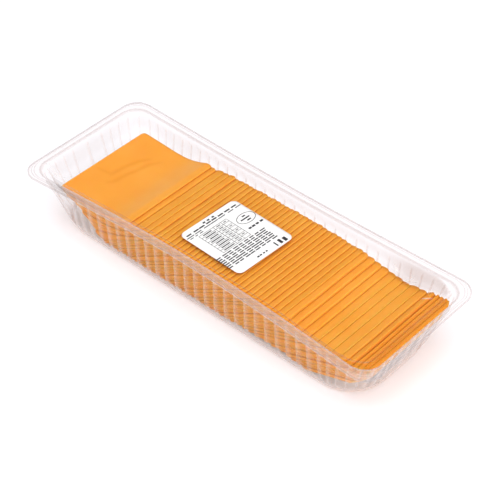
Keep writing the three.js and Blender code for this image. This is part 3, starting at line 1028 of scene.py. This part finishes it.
def film_mesh(columns, rows):
    outline = grow(RIM, -FILM_TRIM)
    straight = outline[0] / 2 - outline[2]
    corner = straight + outline[2] * np.sin(np.linspace(0, math.pi / 2, 9))[1:]
    xs = np.concatenate([-corner[::-1], np.linspace(-straight, straight, columns), corner])
    shares = np.sin(np.linspace(-math.pi / 2, math.pi / 2, rows)) * 0.45 + np.linspace(-1, 1, rows) * 0.55
    x = np.repeat(xs, rows)
    y = (half_width(outline, xs)[:, None] * shares[None, :]).ravel()
    z, down = film_base(x, y)
    ripple = np.array([noise.noise(Vector((a * 55, b * 90, 0.3))) for a, b in zip(x, y)])
    slope = 4 * down * (1 - down)
    folds = fold_height(x, y)
    z = z + RIPPLE_DEPTH * ripple * slope + folds * np.minimum(1, 6 * down)
    pull = 1 - SIDE_PULL * np.cos(np.pi * x / RIM_LENGTH) / (RIM[1] / 2)
    points = np.stack([x, y * pull, z], axis=1)
    faces = []
    for i in range(len(xs) - 1):
        for j in range(rows - 1):
            a = i * rows + j
            faces.append((a, a + rows, a + rows + 1, a + 1))
    mesh = bpy.data.meshes.new("film_sheet")
    mesh.from_pydata(points.tolist(), [], faces)
    # Painted shade where the film tents at the far right corner, and grey painted on its slopes.
    tented = smooth(x, 92 * MM, 128 * MM) * smooth(y, 42 * MM, 48 * MM) * np.minimum(1, 8 * down)
    # How far up each fold stands; white strokes are painted there as glints.
    store(mesh, "fold", folds / FULL_FOLD)
    store(mesh, "drawn", slope)
    store(mesh, "tented", tented)
    return mesh


film = bpy.data.objects.new("film_sheet", film_mesh(columns=300, rows=111))
bpy.context.scene.collection.objects.link(film)
finish_piece(film, "film", film_plastic)
print("film triangles:", sum(len(face.vertices) - 2 for face in film.data.polygons))

# %% [markdown]
# ## Label
# The label is coated paper with rounded corners, stuck to the film and nearly flat over the tips. Its print
# is plain bars, a ruled table and an oval mark, with no lettering. The print lies as thin ink on the paper,
# so it is made as meshes a hair thick: a Geometry Nodes tree sets words of uneven length along rows.

# %% Paper and ink materials
def make_paper():
    material, bench, output = new_material("coated_paper")
    fibres = bench.cloud(bench.where(), 900.0, 3.0, 0.6)
    shade = bench.blend_colours(fibres.ramp(0.3, 0.8), (0.93, 0.93, 0.925, 1), (0.965, 0.965, 0.96, 1))
    bump = bench.put("ShaderNodeBump", None, {"Strength": 0.15, "Distance": 0.0002, "Height": fibres}).out()
    shader = bench.put("ShaderNodeBsdfPrincipled", None, {
        "Base Color": shade, "Roughness": 0.42 + fibres * 0.12, "Normal": bump, "Specular IOR Level": 0.35,
    })
    show(bench, output, shader)
    return material


def make_ink():
    material, bench, output = new_material("black_print")
    wear = bench.cloud(bench.where(), 1500.0, 2.0, 0.6)
    shade = bench.blend_colours(wear.ramp(0.4, 0.8), (0.012, 0.013, 0.02, 1), (0.04, 0.042, 0.05, 1))
    shader = bench.put("ShaderNodeBsdfPrincipled", None, {
        "Base Color": shade, "Roughness": 0.5 + wear * 0.1,
    })
    show(bench, output, shader)
    return material


paper = make_paper()
ink = make_ink()

# %% The label's sheet
label_low, label_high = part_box("label")
LABEL_CENTRE = (label_low + label_high) / 2
LABEL_TURN = math.radians(-2.5)
LABEL_OUTLINE = (63 * MM, 57.5 * MM, 4.7 * MM)
LABEL_THICKNESS = 0.16 * MM
LABEL_LIFT = 0.25 * MM
INK_LIFT = 0.07 * MM
STIFF_REACH = 5 * MM


def on_pack(points):
    """Points of the flat label, (x, y, height), turned and laid on the film's highest places nearby."""
    x = LABEL_CENTRE.x + points[:, 0] * math.cos(LABEL_TURN) - points[:, 1] * math.sin(LABEL_TURN)
    y = LABEL_CENTRE.y + points[:, 0] * math.sin(LABEL_TURN) + points[:, 1] * math.cos(LABEL_TURN)
    nearby = np.linspace(-STIFF_REACH, STIFF_REACH, 9)
    bed = np.max([film_base(x + shift, y)[0] for shift in nearby], axis=0)
    return np.stack([x, y, bed + LABEL_LIFT + points[:, 2]], axis=1)


def label_mesh(columns, rows):
    straight = LABEL_OUTLINE[0] / 2 - LABEL_OUTLINE[2]
    corner = straight + LABEL_OUTLINE[2] * np.sin(np.linspace(0, math.pi / 2, 8))[1:]
    xs = np.concatenate([-corner[::-1], np.linspace(-straight, straight, columns), corner])
    shares = np.linspace(-1, 1, rows)
    x = np.repeat(xs, rows)
    y = (half_width(LABEL_OUTLINE, xs)[:, None] * shares[None, :]).ravel()
    faces = []
    for i in range(len(xs) - 1):
        for j in range(rows - 1):
            a = i * rows + j
            faces.append((a, a + rows, a + rows + 1, a + 1))
    mesh = bpy.data.meshes.new("label_paper")
    mesh.from_pydata(np.stack([x, y, np.zeros_like(x)], axis=1).tolist(), [], faces)
    return mesh


label = bpy.data.objects.new("label_paper", label_mesh(columns=40, rows=28))
bpy.context.scene.collection.objects.link(label)
reshape(label.data, on_pack)
label = thicken(label, LABEL_THICKNESS, 1)
finish_piece(label, "label", paper)
print("label box in mm:", [round(v / MM, 1) for v in label.bound_box[0]])

# %% Rows of words
def words_tree(material):
    bench, wires = new_tree("rows_of_words", {
        "Row Length": ("NodeSocketFloat", 0.05),
        "Block Height": ("NodeSocketFloat", 0.01),
        "Words": ("NodeSocketInt", 12),
        "Rows": ("NodeSocketInt", 3),
        "Bar Height": ("NodeSocketFloat", 0.8 * MM),
        "Seed": ("NodeSocketInt", 1),
    })
    grid = bench.put("GeometryNodeMeshGrid", None, {
        "Size X": wires["Block Height"], "Size Y": wires["Row Length"],
        "Vertices X": wires["Rows"], "Vertices Y": wires["Words"],
    }).out("Mesh")
    pitch = wires["Row Length"] / wires["Words"]
    length = bench.put("FunctionNodeRandomValue", {"data_type": "FLOAT"}, {
        2: 0.72, 3: 1.05, "Seed": wires["Seed"],
    }).out(1)
    thin = bench.put("ShaderNodeCombineXYZ", None, {
        "X": wires["Bar Height"], "Y": length * pitch, "Z": 0.04 * MM,
    }).out()
    block = bench.put("GeometryNodeMeshCube", None, {
        "Size": (1.0, 1.0, 1.0), "Vertices X": 2, "Vertices Y": 2, "Vertices Z": 2,
    }).out("Mesh")
    shove = bench.put("FunctionNodeRandomValue", {"data_type": "FLOAT"}, {
        2: -0.12, 3: 0.12, "Seed": wires["Seed"] + 40,
    }).out(1)
    aside = bench.put("ShaderNodeCombineXYZ", None, {"Y": shove * pitch}).out()
    uneven = bench.put("GeometryNodeSetPosition", None, {"Geometry": grid, "Offset": aside}).out()
    words = bench.put("GeometryNodeInstanceOnPoints", None, {
        "Points": uneven, "Instance": block, "Scale": thin,
    }).out()
    return end_tree(bench, words, material)


PRINT_ROWS = [  # middle x and y, block height, row length, rows, words, bar height (mm)
    (-28.4, -1.5, 0.1, 9, 1, 3, 1.5),
    (-26.0, -0.5, 0.1, 46, 1, 8, 1.35),
    (-23.6, 0.5, 0.1, 49, 1, 7, 0.8),
    (-21.6, -20.0, 0.1, 10, 1, 3, 0.8),
    (0.9, 19.2, 0.1, 12, 1, 4, 1.8),
    (15.0, -4.5, 13.0, 45, 7, 9, 1.05),
    (27.6, -1.0, 0.1, 9, 1, 4, 1.3),
]
word_tree = words_tree(ink)
print_parts = []
for seed, (x, y, high, long, rows, words, bar) in enumerate(PRINT_ROWS, start=1):
    seedling = bpy.data.objects.new("print_seed", bpy.data.meshes.new("print_seed"))
    bpy.context.scene.collection.objects.link(seedling)
    part = grown(seedling, word_tree, {
        "Row Length": long * MM, "Block Height": high * MM, "Words": words, "Rows": rows,
        "Bar Height": bar * MM, "Seed": seed,
    })
    reshape(part.data, lambda points, x=x, y=y: points + (x * MM, y * MM, 0))
    print_parts.append(part)
print("blocks of words:", len(print_parts))

# %% Ruled table, oval mark and the bold mark
INK_FACES = (-0.02, 0.02)  # heights of the ink's low and high face; all of this cell is in millimetres
LONGEST_BAR = 1.5
OVAL_CENTRE = (-9.6, 19.8)
OVAL_RADII = (5.3, 8.1)
OVAL_LINE = 0.5
OVAL_STEPS = 48


def bar_points(x, y, size_x, size_y):
    """A thin flat bar's corners, low face then high face."""
    corners = [(-1, -1), (1, -1), (1, 1), (-1, 1)]
    return [(x + a * size_x / 2, y + b * size_y / 2, z) for z in INK_FACES for a, b in corners]


def short_lengths(x, y, size_x, size_y):
    """A long bar as short ones, so that it can follow the bent label."""
    count_x, count_y = (max(1, math.ceil(size / LONGEST_BAR)) for size in (size_x, size_y))
    step_x, step_y = size_x / count_x, size_y / count_y
    return [(x - size_x / 2 + (i + 0.5) * step_x, y - size_y / 2 + (j + 0.5) * step_y, step_x, step_y)
            for i in range(count_x) for j in range(count_y)]


BAR_FACES = [(0, 3, 2, 1), (4, 5, 6, 7), (0, 1, 5, 4), (1, 2, 6, 5), (2, 3, 7, 6), (3, 0, 4, 7)]


def oval_ring(start):
    """The oval's line as a flat band: its points, and its faces with numbers counted from start."""
    turns = np.linspace(0, 2 * math.pi, OVAL_STEPS + 1)[:-1]
    points = []
    for z in INK_FACES:
        for wider in (0.0, OVAL_LINE):
            reach_x, reach_y = (radius + wider for radius in OVAL_RADII)
            points += [(OVAL_CENTRE[0] + reach_x * math.cos(t), OVAL_CENTRE[1] + reach_y * math.sin(t), z)
                       for t in turns]
    low_in, low_out, high_in, high_out = (start + layer * OVAL_STEPS for layer in range(4))
    faces = []
    for i in range(OVAL_STEPS):
        k = (i + 1) % OVAL_STEPS
        faces.append((high_in + i, high_out + i, high_out + k, high_in + k))
        faces.append((low_in + k, low_out + k, low_out + i, low_in + i))
        faces.append((low_out + i, low_out + k, high_out + k, high_out + i))
        faces.append((low_in + k, low_in + i, high_in + i, high_in + k))
    return points, faces


def marks_mesh():
    bars = []
    table_x, table_y = np.linspace(-19.5, 6.5, 9), (-20.0, -5.5, 2.5, 8.5)
    bars += [(x, -5.7, 0.34, 28.4) for x in table_x]
    bars += [(-6.5, y, 26.0, 0.34) for y in table_y]
    bars += [(x + 1.6, -12.8 + 0.5 * (i % 3), 1.0, 8.5 + 2 * (i % 2)) for i, x in enumerate(table_x[:-1])]
    bars += [(x + 1.6, 5.4, 0.8, 2.6) for x in table_x[:-1:2]]
    bars += [(x + 1.6, -1.4, 0.8, 4.0) for x in table_x[:-1]]
    bars += [(-12.4, 19.8, 1.2, 3.2), (-9.6, 18.8, 1.2, 9.0), (-6.8, 20.2, 1.3, 3.8)]
    bars += [(27.2, 13.6, 5.0, 1.2), (27.2, 18.2, 5.0, 2.4), (27.8, 22.6, 4.6, 2.8)]
    points, faces = [], []
    for bar in [part for bar in bars for part in short_lengths(*bar)]:
        faces += [tuple(len(points) + corner for corner in face) for face in BAR_FACES]
        points += bar_points(*bar)
    oval_points, oval_faces = oval_ring(len(points))
    points += oval_points
    faces += oval_faces
    mesh = bpy.data.meshes.new("label_marks")
    mesh.from_pydata([tuple(v * MM for v in point) for point in points], [], faces)
    return mesh


def joined(parts, name):
    """Several objects' meshes as one new object."""
    whole = bmesh.new()
    for part in parts:
        whole.from_mesh(part.data)
        bpy.data.objects.remove(part)
    mesh = bpy.data.meshes.new(name)
    whole.to_mesh(mesh)
    whole.free()
    piece = bpy.data.objects.new(name, mesh)
    bpy.context.scene.collection.objects.link(piece)
    return piece


marks = bpy.data.objects.new("label_marks", marks_mesh())
bpy.context.scene.collection.objects.link(marks)
label_print = joined([*print_parts, marks], "label_print")
reshape(label_print.data, on_pack)
reshape(label_print.data, lambda points: points + (0, 0, LABEL_THICKNESS + INK_LIFT))
finish_piece(label_print, None, ink)
print("print faces:", len(label_print.data.polygons))

# %% [markdown]
# ## Studio
# The pack lies on a white sweep under one large soft lamp. A dimmer lamp at the right and one at the front
# open the shade on the near walls. So much soft light leaves almost no shadow on a white table, and a faint
# glow of the sweep's own gives the same. A dim surround keeps the film's reflections dark enough to let the
# cheese's colour through.

# %% Floor, surround and lights
def make_floor():
    material, bench, output = new_material("white_sweep")
    grain = bench.cloud(bench.where(), 40.0, 2.0, 0.5)
    shade = bench.blend_colours(grain, (0.865, 0.87, 0.91, 1), (0.885, 0.89, 0.93, 1))
    shader = bench.put("ShaderNodeBsdfPrincipled", None, {
        "Base Color": shade, "Roughness": 0.75, "Specular IOR Level": 0.1,
        "Emission Color": (1, 1, 1, 1), "Emission Strength": 0.16,
    })
    show(bench, output, shader)
    return material


FLOOR_SIZE = 6.0
FLOOR_DROP = 0.2 * MM
sweep_mesh = bpy.data.meshes.new("floor")
half = FLOOR_SIZE / 2
floor_corners = [(-half, -half, 0), (half, -half, 0), (half, half, 0), (-half, half, 0)]
sweep_mesh.from_pydata(floor_corners, [], [(0, 1, 2, 3)])
sweep = bpy.data.objects.new("floor", sweep_mesh)
sweep_mesh.materials.append(make_floor())
sweep_mesh.transform(Matrix.Translation((0, 0, cad_low.z - FLOOR_DROP)))
bpy.context.scene.collection.objects.link(sweep)
sweep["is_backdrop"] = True

world = bpy.data.worlds.new("surround")
world.use_nodes = True
world.node_tree.nodes["Background"].inputs["Color"].default_value = (1.0, 0.975, 0.975, 1)
world.node_tree.nodes["Background"].inputs["Strength"].default_value = 0.58
bpy.context.scene.world = world


def soft_light(name, place, size, power, colour=(1, 1, 1)):
    """A square lamp that faces the pack."""
    data = bpy.data.lights.new(name, "AREA")
    data.shape = "RECTANGLE"
    data.size, data.size_y = size
    data.energy = power
    data.color = colour
    lamp = bpy.data.objects.new(name, data)
    lamp.location = place
    lamp.rotation_euler = (Vector(place) - look_at).to_track_quat("Z", "Y").to_euler()
    bpy.context.scene.collection.objects.link(lamp)
    return lamp


soft_light("overhead", (0.15, -0.1, 1.6), (3.0, 1.4), 18)
soft_light("right_fill", (1.9, -0.3, 1.1), (1.2, 1.2), 12.5)
soft_light("front_fill", (0.4, -1.8, 0.8), (1.6, 0.8), 6.5)
bpy.context.scene.view_settings.view_transform = "Standard"

# %% Sizes, and the end
bpy.context.view_layer.update()
low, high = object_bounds()
print("visual box in mm:", [round(v / MM, 1) for v in (*low, *high)])
